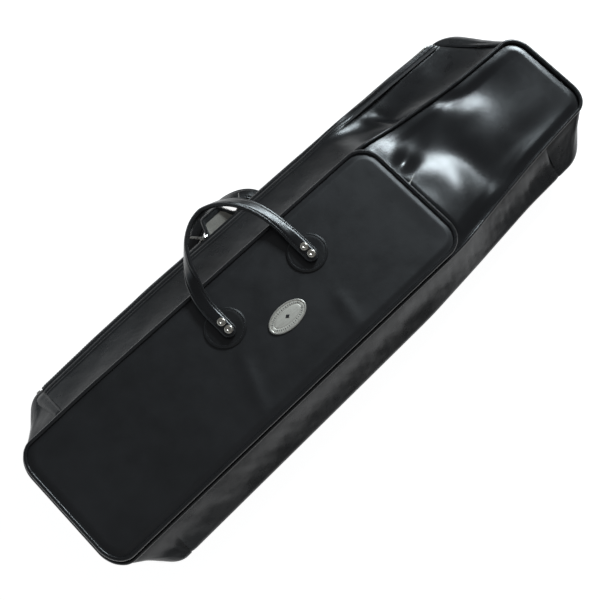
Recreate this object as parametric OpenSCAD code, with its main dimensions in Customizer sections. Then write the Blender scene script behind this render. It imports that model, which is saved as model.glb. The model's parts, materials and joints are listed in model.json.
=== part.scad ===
/* [Case] */
// Width across the front panel, seam to seam
case_w = 180; // [172:1:190]
// Height of the front seam above the rest face
front_z = 85; // [80:1:92]
// Height of the back seam above the rest face
back_z = 15; // [14:1:18]
// Height of the folded edge that carries the main zip
waist_z = 47; // [44:1:52]
// How far the soft end of the front panel sinks
sink = 10; // [4:1:14]
// Leather thickness
leather_t = 2.2; // [1.6:0.1:2.6]
// Piping diameter
piping_d = 5; // [4:0.5:6]

/* [Pocket] */
// X of the pocket's zipped end
pocket_end = 141; // [120:1:141]
// Height of the pocket's side wall
pocket_h = 14; // [12:1:20]

/* [Handles] */
// Distance between the two legs of a handle
handle_span = 133; // [120:1:140]
// Reach of the arch beyond the rivets' flex line
handle_reach = 98; // [85:1:110]
// Width of the handle strap
strap_w = 18; // [15:0.5:22]
// Thickness of the handle strap
strap_t = 6.2; // [5:0.1:7]
// X of the middle of the front handle
handle_x = -76.5; // [-90:0.5:-60]

/* [Fittings] */
// Diameter of a rivet head
rivet_d = 10.5; // [8:0.5:12]
// Length of the oval badge
badge_l = 54; // [40:1:60]
// Height of the oval badge
badge_w = 30; // [24:1:34]

/* [Hidden] */

leather = [0.09, 0.09, 0.10];
soft_leather = [0.13, 0.13, 0.14];
lining_grey = [0.62, 0.60, 0.57];
nickel = [0.78, 0.77, 0.73];
zip_black = [0.05, 0.05, 0.05];

half_w = case_w / 2;
piping_r = piping_d / 2;
gap = 0.4;
corner_n = 5;

// Stations along the long sides. The cross seams lie on the first and the last one.
seam_near = -340;
seam_lip = 140;
seam_far = 320;
side_x = [for (x = [seam_near : 30 : seam_far]) x];

// A level is a closed outline at one height:
// [first x, last x, near end x, far end x, near corner, far corner, +Y edge, -Y edge, height]
front_level = [-388, 388, -412, 412, 34, 30,
    [[-388, half_w - 2], [-310, half_w], [140, half_w], [210, half_w - 9], [300, half_w - 19],
        [388, half_w - 22]],
    [[-388, half_w - 2], [140, half_w + 1], [210, half_w - 8], [300, half_w - 17],
        [388, half_w - 23]],
    [[144, front_z], [196, front_z - sink + 0.5], [388, front_z - sink - 1]]];
waist_level = [-345, 337, -381, 392, 70, 62,
    [[-345, 137], [-246, 141], [-150, 143], [200, 143], [290, 142], [337, 141]],
    [[-345, 122], [60, 121], [160, 115], [259, 108], [337, 107]],
    [[140, waist_z], [337, waist_z - 6]]];
back_level = [-366, 378, -400, 408, 38, 30,
    [[-366, half_w + 4], [140, half_w + 5], [378, half_w - 16]],
    [[-366, half_w + 4], [140, half_w + 4], [378, half_w - 16]],
    [[-366, back_z], [378, back_z]]];
pocket_inset = 4.5;
pocket_level = [-386, pocket_end - 28, -412 + pocket_inset, pocket_end, 30, 28,
    [[-386, half_w - 2 - pocket_inset], [-310, half_w - pocket_inset], [140, half_w - pocket_inset]],
    [[-386, half_w - 2 - pocket_inset], [140, half_w + 1 - pocket_inset]],
    [[-386, 0], [140, 0]]];

function side_point(level, x, side) =
    [x, side * lookup(x, level[side > 0 ? 6 : 7]), lookup(x, level[8])];
function corner_point(level, end, side, k) =
    let (start = side_point(level, level[end], side), a = 90 * k / corner_n)
    [start.x + (level[end + 2] - start.x) * sin(a),
        start.y - side * level[end + 4] * (1 - cos(a)), start.z];
function side_points(level, side) =
    [for (x = concat(level[0], [for (s = side_x) if (s > level[0] && s < level[1]) s], level[1]))
        side_point(level, x, side)];
function reverse(list) = [for (i = [len(list) - 1 : -1 : 0]) list[i]];
function corner(level, end, side) = [for (k = [1 : corner_n]) corner_point(level, end, side, k)];
function ring(level) = concat(side_points(level, 1), corner(level, 1, 1),
    reverse(corner(level, 1, -1)), reverse(side_points(level, -1)),
    corner(level, 0, -1), reverse(corner(level, 0, 1)));

// Moves each point of a closed outline inwards by d and up by dz
function inset(pts, d, dz = 0) =
    let (n = len(pts))
    [for (i = [0 : n - 1])
        let (t = pts[(i + 1) % n] - pts[(i + n - 1) % n], l = norm([t.x, t.y]))
        pts[i] + [t.y / l * d, -t.x / l * d, dz]];
function flat(pts) = [for (p = pts) [p.x, p.y]];
function between(a, b, share) = [for (i = [0 : len(a) - 1]) a[i] * (1 - share) + b[i] * share];
function part_of(pts, from, to) = [for (i = [from : to]) pts[i % len(pts)]];

front_ring = ring(front_level);
waist_ring = ring(waist_level);
back_ring = ring(back_level);
pocket_ring = ring(pocket_level);

// Station numbers of the seams on the shared outlines
n_ring = len(front_ring);
st_near_top = 1;
st_lip = st_near_top + (seam_lip - seam_near) / 30;
st_far_top = len(side_x) + 1;
st_far_bottom = n_ring - 2 * corner_n - 1 - len(side_x);
st_near_bottom = n_ring - 2 * corner_n - 2;

// Closed skin through a row of sections. A section lists its outer points, then its inner
// points backwards, so that its two ends close as strips. The two halves of a section are cut
// along matching diagonals, so that its inner and outer faces stay parallel.
module skin(rows, closed = false) {
    m = len(rows[0]);
    n = len(rows);
    sides = [for (i = [0 : n - (closed ? 1 : 2)], j = [0 : m - 1])
        let (k = (i + 1) % n, a = i * m + j, b = i * m + (j + 1) % m,
            c = k * m + (j + 1) % m, d = k * m + j)
        each j < m / 2 ? [[a, b, c], [a, c, d]] : [[a, b, d], [b, c, d]]];
    caps = [for (j = [0 : m / 2 - 2], e = [0, (n - 1) * m])
        let (q = [e + j, e + j + 1, e + m - 2 - j, e + m - 1 - j],
            f = e == 0 ? [q[0], q[3], q[2], q[1]] : q)
        each [[f[0], f[1], f[2]], [f[0], f[2], f[3]]]];
    polyhedron(points = [for (r = rows) each r], faces = closed ? sides : concat(sides, caps));
}

// Band between outlines, from one station to another
module band(outer, inner, from, to) {
    rings = concat(outer, reverse(inner));
    skin([for (i = [from : to]) [for (r = reverse(rings)) r[i % len(r)]]]);
}

// Round tube along a path that stays nearly level
module tube(path, r, closed = false, sides = 8) {
    n = len(path);
    skin([for (i = [0 : n - 1])
        let (a = path[closed ? (i + n - 1) % n : max(i - 1, 0)],
            b = path[closed ? (i + 1) % n : min(i + 1, n - 1)],
            t = (b - a) / norm(b - a), s = cross(t, [0, 0, 1]), side = s / norm(s),
            up = cross(side, t))
        [for (k = [0 : sides - 1]) let (w = 360 * k / sides)
            path[i] + r * cos(w) * side + r * sin(w) * up]], closed);
}

// Plate that follows an outline's own height, so it may sink towards one end
module plate(pts, bottom, top) {
    n = len(pts);
    half = n / 2;
    skin([for (j = [0 : half - 1])
        let (a = pts[(n - corner_n + j) % n], b = pts[n - corner_n - 1 - j])
        [a + [0, 0, top], b + [0, 0, top], b + [0, 0, bottom], a + [0, 0, bottom]]]);
}

module outline(pts, z, h) {
    translate([0, 0, z]) linear_extrude(h) polygon(flat(pts));
}

module block(low, high) {
    translate(low) cube(high - low);
}

// Flat strip in a YZ section, from p to q
module strip(p, q, t) {
    d = (q - p) / norm(q - p);
    n = [-d.y, d.x] * t / 2;
    polygon([p + n, q + n, q - n, p - n]);
}

// Turns a drawing in Y and Z into a bar from x0 to x1
module along_x(x0, x1) {
    translate([x0, 0, 0]) rotate([90, 0, 90]) linear_extrude(x1 - x0) children();
}

// ---- back ----
pad_notch = [[-196, 22], [44, 22], [44, 120], [-196, 120]];

module back_pad() color(leather) difference() {
    union() {
        outline(inset(back_ring, 24), 0, 4);
        outline(inset(back_ring, 14), 4, back_z - 7.6);
    }
    translate([0, 0, -1]) linear_extrude(back_z) polygon(pad_notch);
}
module back_panel() color(leather) difference() {
    outline(inset(back_ring, 4.1), back_z - 3.5, 2.5);
    rear_rivet_bores();
}
module back_board() color("tan") difference() {
    outline(inset(back_ring, 7), back_z - 0.9, 2);
    rear_rivet_bores();
}
module back_piping() color(leather) tube(inset(back_ring, 1.5, -piping_r - 0.1), piping_r, true);
module lining_back() color(lining_grey) outline(inset(back_ring, 8.4), back_z + 2.2, 0.8);

// ---- front ----
module front_panel() color(leather) plate(inset(front_ring, 4.1), 0.2, 2.7);
module front_board() color("tan")
    intersection() {
        outline(inset(front_ring, 7), front_z - 1.9, 2);
        block([-420, -100, 0], [pocket_end - 11, 100, 200]);
    }
module front_piping() color(leather) tube(inset(front_ring, 1.5, piping_r + 0.1), piping_r, true);
module lining_front() color(lining_grey) plate(inset(front_ring, 8.4), -2.8, -2);

// ---- gussets ----
lip_gap = 4.5;
module gusset(from, to) {
    band([front_ring, waist_ring, back_ring],
        [inset(front_ring, 3), inset(waist_ring, 3.8), inset(back_ring, 3)], from, to);
}
module gusset_lining(from, to) {
    band([inset(front_ring, 3.2, -0.2), inset(waist_ring, 4), inset(back_ring, 3.2, 0.2)],
        [inset(front_ring, 5.2, -0.2), inset(waist_ring, 6), inset(back_ring, 5.2, 0.2)], from, to);
}
module bottom_gusset() color(leather) gusset(st_far_bottom, st_near_bottom);
module near_end_gusset() color(leather) gusset(st_near_bottom, n_ring + st_near_top);
module far_end_gusset() color(leather) gusset(st_far_top, st_far_bottom);
module lining_bottom() color(lining_grey) gusset_lining(st_far_bottom, st_near_bottom);
module lining_near_end() color(lining_grey) gusset_lining(st_near_bottom, n_ring + st_near_top);
module lining_far_end() color(lining_grey) gusset_lining(st_far_top, st_far_bottom);

module rear_lip() color(leather)
    band([inset(waist_ring, 2.6, -lip_gap), back_ring],
        [inset(waist_ring, 6, -lip_gap), inset(back_ring, 3)], st_near_top, st_far_top);
module lining_rear_lip() color(lining_grey)
    band([inset(waist_ring, 7.6, -lip_gap), inset(back_ring, 4.6, 0.2)],
        [inset(waist_ring, 9, -lip_gap), inset(back_ring, 6, 0.2)], st_near_top, st_far_top);
module front_lip_far() color(leather)
    band([front_ring, inset(waist_ring, 2.6, lip_gap)],
        [inset(front_ring, 3), inset(waist_ring, 6, lip_gap)], st_lip, st_far_top);

// ---- main zip ----
row_dz = 1.7;
coil_r = 0.9;
tape_t = 0.8;
// Tape that holds a row of teeth, tucked behind its lip: it rises a little on its way in
module zip_tape(side, from, to) {
    edge = side * 3.2;
    root = side * 3.8;
    band([inset(waist_ring, 1.6, edge + tape_t / 2), inset(waist_ring, 1.6, edge - tape_t / 2)],
        [inset(waist_ring, 8.5, root + tape_t / 2), inset(waist_ring, 8.5, root - tape_t / 2)],
        from, to);
}
module zip_coil(side, from, to)
    tube(part_of(inset(waist_ring, 1, side * row_dz), from, to), coil_r);
module rear_zip_tape() color(zip_black) zip_tape(-1, st_near_top, st_far_top);
module rear_zip_coil() color(zip_black) zip_coil(-1, st_near_top, st_far_top);
module far_zip_tape() color(zip_black) zip_tape(1, st_lip, st_far_top);
module far_zip_coil() color(zip_black) zip_coil(1, st_lip, st_far_top);
module main_zip_stops() color(nickel) {
    for (x = [seam_near - 8, seam_far + 8])
        block([x, lookup(x, waist_level[6]) + 0.6, waist_z - 8.5],
            [x + 5, lookup(x, waist_level[6]) + 2.2, waist_z - 2.5]);
}
// Leather tabs over the near cross seam, one on each side of the zip
tab_w = 14;
function tab_edge(level) = [side_point(level, seam_near - tab_w, 1), side_point(level, seam_near, 1)];
module seam_tab(upper, lower, from, to) {
    top = between(upper, lower, from);
    foot = between(upper, lower, to);
    skin([for (i = [0, 1])
        [for (edge = [[top, 3], [foot, 3], [foot, 4.5], [top, 4.5]])
            edge[0][i] + [0, edge[1], 0]]]);
}
module end_seam_tabs() color(leather) {
    waist_edge = [waist_ring[n_ring - 1], waist_ring[1]];
    seam_tab(tab_edge(front_level), waist_edge, 0.04, 0.88);
    seam_tab(waist_edge, tab_edge(back_level), 0.14, 0.94);
}

// ---- moving lip of the mouth ----
lip_x = [seam_near + 0.6, seam_lip - 0.6];
hinge = [half_w - 1.2, front_z - 1.4];
lip_end = [140.4, waist_z + lip_gap];
lip_dir = (lip_end - hinge) / norm(lip_end - hinge);
lip_in = [lip_dir.y, -lip_dir.x];
module front_lip() color(leather) {
    along_x(lip_x[0], lip_x[1]) translate(hinge) circle(d = leather_t, $fn = 24);
    along_x(lip_x[0], lip_x[1]) strip(hinge, lip_end, leather_t - 0.2);
}
module front_zip_tape() color(zip_black) along_x(lip_x[0], lip_x[1])
    strip(lip_end - 12 * lip_dir + 1.7 * lip_in, lip_end + 1.6 * lip_dir + 1.7 * lip_in, tape_t);
module front_lip_lining() color(lining_grey) along_x(lip_x[0], lip_x[1])
    strip(hinge + 6 * lip_dir + 2.8 * lip_in, lip_end - 4 * lip_dir + 2.8 * lip_in, 0.8);
module front_zip_coil() color(zip_black) along_x(lip_x[0], lip_x[1])
    translate([142, waist_z + row_dz]) circle(r = coil_r, $fn = 16);

// ---- zip sliders and their pulls ----
// A slider in its own frame: the teeth run along X, its outer plate faces +Y
slider_l = 13;
bail_y = 5;
module slider_plate(w0, w1) {
    polygon([[-slider_l / 2, -w0], [-2, -w1], [2, -w1], [slider_l / 2, -w0],
        [slider_l / 2, w0], [2, w1], [-2, w1], [-slider_l / 2, w0]]);
}
module slider() {
    translate([0, 3.4, 0]) rotate([90, 0, 0]) linear_extrude(1.4) slider_plate(3, 5);
    translate([0, -2, 0]) rotate([90, 0, 0]) linear_extrude(1.2)
        translate([-slider_l / 2, 0]) square([slider_l, 2]);
    block([-2, -2.2, 0], [2, 2.2, 0.5]);
    for (x = [-3.6, 2.4])
        block([x, 3.3, -1.2], [x + 1.2, bail_y + 0.4, 1.2]);
    block([-3.6, bail_y + 0.4, -1.2], [3.6, bail_y + 1.5, 1.2]);
}
// The pull hangs on the slider's bail and points along +X
pull_l = 17;
module pull() {
    difference() {
        hull() {
            translate([0, 0, -3.4]) cylinder(d = 1.2, h = 6.8, $fn = 16);
            translate([pull_l, 0, -2.4]) cylinder(d = 1.2, h = 4.8, $fn = 16);
        }
        block([-2, -2, -1.8], [4.8, 2, 1.8]);
        block([7.4, -2, -1.3], [14.6, 2, 1.3]);
    }
    translate([0, 0, -2.4]) cylinder(d = 1.2, h = 4.8, $fn = 16);
}
slider_near_x = -75;
slider_far_x = -12;
slider_y = 142;
module place_slider(x) translate([x, slider_y, waist_z]) children();
module place_pull(x, turn) translate([x, slider_y + bail_y - 0.7, waist_z]) rotate([0, 0, turn])
    children();
module slider_near() color(nickel) place_slider(slider_near_x) slider();
module pull_near() color(nickel) place_pull(slider_near_x, 130) pull();
module slider_far() color(nickel) place_slider(slider_far_x) slider();
module pull_far() color(nickel) place_pull(slider_far_x, 50) pull();

// ---- cue divider and loops ----
divider_z = waist_z - 2;
module cue_divider() color("dimgray") intersection() {
    outline(inset(waist_ring, 14), divider_z - 3, 3);
    block([-420, -140, 0], [420, 96, 200]);
}
module cue_loop(x) {
    difference() {
        block([x, -70, divider_z + 0.1], [x + 38, 62, divider_z + 26]);
        block([x - 1, -67.6, divider_z - 1], [x + 39, 59.6, divider_z + 23.8]);
    }
}
loop_near_x = -259;
loop_far_x = 90;
module cue_loop_near() color("black") cue_loop(loop_near_x);
module cue_loop_far() color("black") cue_loop(loop_far_x);

// ---- front pocket ----
wall_z = front_z + 2.8;
lid_z = wall_z + pocket_h;
tape_half = 66;
zip_z = wall_z + pocket_h / 2;
tape_gap = 2.7;
pocket_tape_h = 2.7;
module pocket_panel() color(soft_leather) difference() {
    outline(inset(pocket_ring, 2.7), lid_z, 2.4);
    front_rivet_bores();
}
module pocket_gusset() color(leather) difference() {
    outline(pocket_ring, wall_z, pocket_h - 1.4);
    outline(inset(pocket_ring, 2.2), wall_z - 1, pocket_h + 2);
    block([pocket_end - 20, -tape_half, 0], [pocket_end + 5, tape_half, 200]);
}
module pocket_piping() color(leather) tube(inset(pocket_ring, 0, lid_z + 1.2), piping_r, true);
module pocket_zip_tapes() color(zip_black) {
    for (z = [zip_z - tape_gap - pocket_tape_h, zip_z + tape_gap])
        block([pocket_end - 2, -tape_half + 0.2, z],
            [pocket_end - 1.2, tape_half - 0.2, z + pocket_tape_h]);
}
module pocket_zip_coils() color(zip_black) {
    for (z = [-row_dz, row_dz])
        translate([pocket_end - 1.6, -tape_half + 6, zip_z + z]) rotate([-90, 0, 0])
            cylinder(r = coil_r, h = 2 * tape_half - 12, $fn = 16);
}
module pocket_zip_stops() color(nickel) {
    for (y = [-tape_half + 2, tape_half - 6])
        block([pocket_end - 2.8, y, zip_z - 1.7], [pocket_end - 0.4, y + 3.4, zip_z + 1.7]);
}
pocket_slider_y = 9;
module pocket_slider() color(nickel)
    translate([pocket_end - 1.6, pocket_slider_y, zip_z]) rotate([0, 0, -90]) slider();
module pocket_pull() color(nickel)
    translate([pocket_end - 1.6 + bail_y - 0.7, pocket_slider_y, zip_z]) rotate([0, 0, 20]) pull();

// ---- handles ----
patch_z = lid_z + 2.4;
patch_t = 2;
end_t = 7;
rivet_pitch = 12;
front_flex = [52, patch_z + patch_t + end_t / 2];
rear_patch_z = back_z - 3.6;
rear_flex = [72, rear_patch_z - patch_t - end_t / 2];
rear_handle_x = handle_x + 22;
leg_x = [-handle_span / 2, handle_span / 2];

// Places what follows at each rivet of one handle
module at_rivets(mid_x, flex_y) {
    for (x = leg_x, k = [0, 1])
        translate([mid_x + x, flex_y - 15 - k * rivet_pitch, 0]) children();
}
rivet_shank_d = 4;
module front_rivet_bores() at_rivets(handle_x, front_flex.x)
    translate([0, 0, lid_z - 5]) cylinder(d = rivet_shank_d, h = 30, $fn = 24);
module rear_rivet_bores() at_rivets(rear_handle_x, rear_flex.x)
    translate([0, 0, -5]) cylinder(d = rivet_shank_d, h = 30, $fn = 24);
module patch(z) linear_extrude(patch_t) scale([1.06, 1]) circle(d = 48, $fn = 48);

module front_patch(x) difference() {
    translate([handle_x + x, front_flex.x - 21, patch_z]) patch();
    front_rivet_bores();
}
module rear_patch(x) difference() {
    translate([rear_handle_x + x, rear_flex.x - 21, rear_patch_z - patch_t]) patch();
    rear_rivet_bores();
}
module front_patch_near() color(leather) front_patch(leg_x[0]);
module front_patch_far() color(leather) front_patch(leg_x[1]);
module rear_patch_near() color(leather) rear_patch(leg_x[0]);
module rear_patch_far() color(leather) rear_patch(leg_x[1]);

// Sewn strap end under its two rivets, skived where the strap flexes
module strap_end(up) {
    round_y = -36 + strap_w / 2;
    difference() {
        union() {
            translate([0, round_y, -end_t / 2]) cylinder(d = strap_w, h = end_t, $fn = 48);
            block([-strap_w / 2, round_y, -end_t / 2], [strap_w / 2, -2, end_t / 2]);
        }
        rotate([0, 90, 0]) cylinder(r = strap_t / 2 + gap, h = 2 * strap_w, center = true, $fn = 48);
        along_x(-strap_w, strap_w)
            polygon([[-7.4, up * end_t], [-7.4, up * end_t / 2], [-4.4, up * -0.7],
                [0, up * -0.7], [0, up * end_t]]);
    }
}
module front_strap_ends() color(leather) difference() {
    for (x = leg_x)
        translate([handle_x + x, front_flex.x, front_flex.y]) strap_end(1);
    front_rivet_bores();
}
module rear_strap_ends() color(leather) difference() {
    for (x = leg_x)
        translate([rear_handle_x + x, rear_flex.x, rear_flex.y]) strap_end(-1);
    rear_rivet_bores();
}
// Rivet: head, shank and the burr it is set on
module rivet(head_z, burr_z, up) {
    translate([0, 0, min(head_z, burr_z)]) cylinder(d = rivet_shank_d, h = abs(head_z - burr_z), $fn = 24);
    translate([0, 0, up > 0 ? head_z : head_z - 1.2]) cylinder(d = rivet_d, h = 1.2, $fn = 48);
    translate([0, 0, up > 0 ? head_z + 1.2 : head_z - 2]) cylinder(d = rivet_d - 3.5, h = 0.8, $fn = 48);
    translate([0, 0, up > 0 ? burr_z - 1 : burr_z]) cylinder(d = rivet_d - 1, h = 1, $fn = 48);
}
module front_rivets() color(nickel) at_rivets(handle_x, front_flex.x)
    rivet(front_flex.y + end_t / 2, lid_z, 1);
module rear_rivets() color(nickel) at_rivets(rear_handle_x, rear_flex.x)
    rivet(rear_flex.y - end_t / 2, back_z + 1.1, -1);

// The arch: flat at its two legs, turned on edge over its top.
// Each leg turns between two shares of the way from the leg to the top.
function ease(t) = let (c = min(max(t, 0), 1)) c * c * (3 - 2 * c);
function arch_point(t, reach, lean, rise) =
    [handle_span / 2 * cos(t) * -1 + lean * pow(sin(t), 2), reach * sin(t), rise * ease(sin(t))];
function arch_turn(t, near, far) =
    let (s = t < 90 ? t / 90 : (180 - t) / 90, span = t < 90 ? near : far)
    90 * ease((s - span[0]) / (span[1] - span[0]));
arch_n = 32;
module arch(reach, lean, rise, near, far) {
    w = strap_w / 2;
    h = strap_t / 2;
    skin([for (i = [0 : arch_n])
        let (t = 180 * i / arch_n, p = arch_point(t, reach, lean, rise),
            d = arch_point(min(t + 0.5, 180), reach, lean, rise)
                - arch_point(max(t - 0.5, 0), reach, lean, rise),
            a = arch_turn(t, near, far), dir = d / norm(d), side = cross(dir, [0, 0, 1]),
            s = side / norm(side), up = cross(s, dir),
            u = cos(a) * s + sin(a) * up, v = cos(a) * up - sin(a) * s)
        [for (c = [[w - 1.5, h], [-w + 1.5, h], [-w, h - 1.5], [-w, -h + 1.5],
                [-w + 1.5, -h], [w - 1.5, -h], [w, -h + 1.5], [w, h - 1.5]])
            p + c[0] * u + c[1] * v]]);
}
module knuckles() {
    for (x = leg_x)
        translate([x - strap_w / 2, 0, 0]) rotate([0, 90, 0]) cylinder(d = strap_t - 0.4, h = strap_w, $fn = 32);
}
module front_handle() color(leather) translate([handle_x, front_flex.x, front_flex.y]) {
    arch(handle_reach, 6, 9, [0.15, 0.65], [0.3, 1]);
    knuckles();
}
module rear_handle() color(leather) translate([rear_handle_x, rear_flex.x, rear_flex.y]) {
    arch(handle_reach + 11, 40, 4.2, [0.25, 0.9], [0.25, 0.9]);
    knuckles();
}

// ---- badge ----
badge_at = [-82, -9, patch_z + 0.05];
module oval(l, w) scale([1, w / l]) circle(d = l, $fn = 64);
module badge_plate() color(nickel) translate(badge_at) linear_extrude(1.2) oval(badge_l - 5, badge_w - 5);
module badge_rim() color(nickel) translate(badge_at) linear_extrude(2.2) difference() {
    oval(badge_l, badge_w);
    oval(badge_l - 4.8, badge_w - 4.8);
}

back_pad();
back_panel();
back_board();
back_piping();
front_panel();
front_board();
front_piping();
bottom_gusset();
near_end_gusset();
far_end_gusset();
rear_lip();
front_lip_far();
lining_front();
lining_back();
lining_bottom();
lining_near_end();
lining_far_end();
lining_rear_lip();
rear_zip_tape();
rear_zip_coil();
far_zip_tape();
far_zip_coil();
main_zip_stops();
end_seam_tabs();
cue_divider();
cue_loop_near();
cue_loop_far();
pocket_panel();
pocket_gusset();
pocket_piping();
pocket_zip_tapes();
pocket_zip_coils();
pocket_zip_stops();
front_patch_near();
front_patch_far();
front_strap_ends();
front_rivets();
rear_patch_near();
rear_patch_far();
rear_strap_ends();
rear_rivets();
badge_plate();
badge_rim();
front_lip();
front_lip_lining();
front_zip_tape();
front_zip_coil();
slider_near();
pull_near();
slider_far();
pull_far();
pocket_slider();
pocket_pull();
front_handle();
rear_handle();
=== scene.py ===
import json
import math

import bmesh
import bpy
import numpy as np
from mathutils import Matrix, Vector


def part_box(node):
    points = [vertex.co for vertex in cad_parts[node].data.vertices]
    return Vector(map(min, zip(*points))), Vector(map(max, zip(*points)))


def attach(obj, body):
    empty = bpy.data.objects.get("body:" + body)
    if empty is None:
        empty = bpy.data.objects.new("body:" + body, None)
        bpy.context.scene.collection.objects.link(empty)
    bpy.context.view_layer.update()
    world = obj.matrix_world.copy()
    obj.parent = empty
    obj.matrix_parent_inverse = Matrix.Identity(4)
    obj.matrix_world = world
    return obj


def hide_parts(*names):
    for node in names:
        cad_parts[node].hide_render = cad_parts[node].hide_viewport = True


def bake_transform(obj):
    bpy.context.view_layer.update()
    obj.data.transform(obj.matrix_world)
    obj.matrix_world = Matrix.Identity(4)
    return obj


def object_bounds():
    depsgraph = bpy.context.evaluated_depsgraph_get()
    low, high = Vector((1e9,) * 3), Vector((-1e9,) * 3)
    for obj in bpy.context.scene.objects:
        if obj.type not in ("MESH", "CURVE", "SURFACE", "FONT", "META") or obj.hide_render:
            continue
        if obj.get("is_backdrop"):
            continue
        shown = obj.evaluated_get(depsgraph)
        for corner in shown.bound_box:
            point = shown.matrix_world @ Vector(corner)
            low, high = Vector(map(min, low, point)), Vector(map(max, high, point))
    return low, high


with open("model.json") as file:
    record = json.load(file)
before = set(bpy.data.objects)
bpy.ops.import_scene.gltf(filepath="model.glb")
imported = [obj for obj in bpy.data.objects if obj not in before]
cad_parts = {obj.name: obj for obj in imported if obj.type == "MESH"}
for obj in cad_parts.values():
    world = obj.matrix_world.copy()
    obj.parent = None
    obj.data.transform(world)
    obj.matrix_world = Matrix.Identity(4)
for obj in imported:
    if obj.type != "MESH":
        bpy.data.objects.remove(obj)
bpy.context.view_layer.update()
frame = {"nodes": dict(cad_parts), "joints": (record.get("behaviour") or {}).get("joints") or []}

# All shapes are worked out in millimetres, in the frame's axes, and become metres in add_mesh().
MM = 0.001


def box(node):
    """Lowest and highest corner of a CAD node, in millimetres."""
    low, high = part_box(node)
    return np.array(low) / MM, np.array(high) / MM


def pivot(name):
    """Where a joint's axis lies, in millimetres."""
    joint = next(j for j in frame["joints"] if j["name"] == name)
    return np.array(joint["pos_m"]) / MM


# ---------------------------------------------------------------- outlines of the case
STEP_X = 30
SEAM_NEAR, SEAM_FAR = -340, 320
# station numbers where a side, a round corner or an end begins; a corner has five steps
SIDE = 24
FAR_END, MINUS_SIDE = SIDE + 5, SIDE + 11
NEAR_CORNER, NEAR_END = 2 * SIDE + 11, 2 * SIDE + 16
COUNT = 2 * SIDE + 22
GRID_X = np.arange(-470.0, 471.0)


def rounded_table(table, spread=13):
    """Straight runs between the table's points, with each corner eased over a few centimetres."""
    xs, values = zip(*table)
    line = np.interp(GRID_X, xs, values)
    reach = np.arange(-3 * spread, 3 * spread + 1)
    weight = np.exp(-0.5 * (reach / spread) ** 2)
    return np.convolve(np.pad(line, 3 * spread, mode="edge"), weight / weight.sum(), "valid")


class Level:
    """A closed outline round the case. Along it, u counts stations: first along the +Y side
    towards +X, then round the far end, back along the -Y side, and round the near end."""

    def __init__(self, side_x, end_x, corner, plus, minus, height):
        self.side_x, self.end_x, self.corner_y = side_x, end_x, corner
        self.edge = {1: rounded_table(plus), -1: rounded_table(minus)}
        self.height = rounded_table(height)
        self.station_x = [side_x[0], *range(SEAM_NEAR, SEAM_FAR + 1, STEP_X), side_x[1]]
        if side_x[1] < SEAM_FAR:
            self.station_x = np.linspace(*side_x, SIDE + 1)

    def along(self, station, side):
        x = np.interp(station, range(len(self.station_x)), self.station_x)
        return np.array([x, side * np.interp(x, GRID_X, self.edge[side]),
                         np.interp(x, GRID_X, self.height)])

    def corner(self, end, side, turn):
        start = self.along(SIDE * end, side)
        angle = math.radians(18 * turn)
        start[0] += (self.end_x[end] - self.side_x[end]) * math.sin(angle)
        start[1] -= side * self.corner_y[end] * (1 - math.cos(angle))
        return start

    def point(self, u):
        u = u % COUNT
        if u <= SIDE:
            return self.along(u, 1)
        if u <= FAR_END:
            return self.corner(1, 1, u - SIDE)
        if u <= FAR_END + 1:
            t = u - FAR_END
            return self.corner(1, 1, 5) * (1 - t) + self.corner(1, -1, 5) * t
        if u <= MINUS_SIDE:
            return self.corner(1, -1, MINUS_SIDE - u)
        if u <= NEAR_CORNER:
            return self.along(NEAR_CORNER - u, -1)
        if u <= NEAR_END:
            return self.corner(0, -1, u - NEAR_CORNER)
        if u <= NEAR_END + 1:
            t = u - NEAR_END
            return self.corner(0, -1, 5) * (1 - t) + self.corner(0, 1, 5) * t
        return self.corner(0, 1, COUNT - u)


FRONT = Level((-388, 388), (-412, 412), (34, 30),
              [(-388, 88), (-310, 90), (140, 90), (210, 81), (300, 71), (388, 68)],
              [(-388, 88), (140, 91), (210, 82), (300, 73), (388, 67)],
              [(146, 85), (192, 75.5), (388, 74)])
WAIST = Level((-345, 337), (-381, 392), (70, 62),
              [(-345, 137), (-246, 141), (-150, 143), (200, 143), (290, 142), (337, 141)],
              [(-345, 122), (60, 121), (160, 115), (259, 108), (337, 107)],
              [(140, 47), (337, 41)])
BACK = Level((-366, 378), (-400, 408), (38, 30),
             [(-366, 94), (140, 95), (378, 74)],
             [(-366, 94), (140, 94), (378, 74)],
             [(-366, 15), (378, 15)])
POCKET = Level((-386, 113), (-407.5, 141), (30, 28),
               [(-386, 83.5), (-310, 85.5), (140, 85.5)],
               [(-386, 83.5), (140, 86.5)],
               [(-386, 0), (140, 0)])


def stations(start, stop):
    """Values of u from start to stop: 9 to a station on a side, 5 in a corner, 26 along an end."""
    out = []
    for k in range(start, stop):
        place = k % COUNT
        straight_end = place in (FAR_END, NEAR_END)
        round_corner = SIDE <= place < MINUS_SIDE or place >= NEAR_CORNER
        n = 26 if straight_end else 5 if round_corner else 9
        out += [k + i / n for i in range(n)]
    return np.array(out + [stop])


def ring(level, us, inset=0.0, dz=0.0):
    """Points of an outline, moved inwards and up."""
    points = np.array([level.point(u) for u in us])
    along = np.array([level.point(u + 0.02) - level.point(u - 0.02) for u in us])
    along[:, 2] = 0
    along /= np.linalg.norm(along, axis=1)[:, None]
    inwards = np.stack([along[:, 1], -along[:, 0], np.zeros(len(us))], 1)
    return points + inwards * inset + np.array([0, 0, dz])


# ---------------------------------------------------------------- small maths
def ease(t):
    t = np.clip(t, 0, 1)
    return t * t * (3 - 2 * t)


def bell(distance, width):
    return np.exp(-((distance / width) ** 2))


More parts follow.
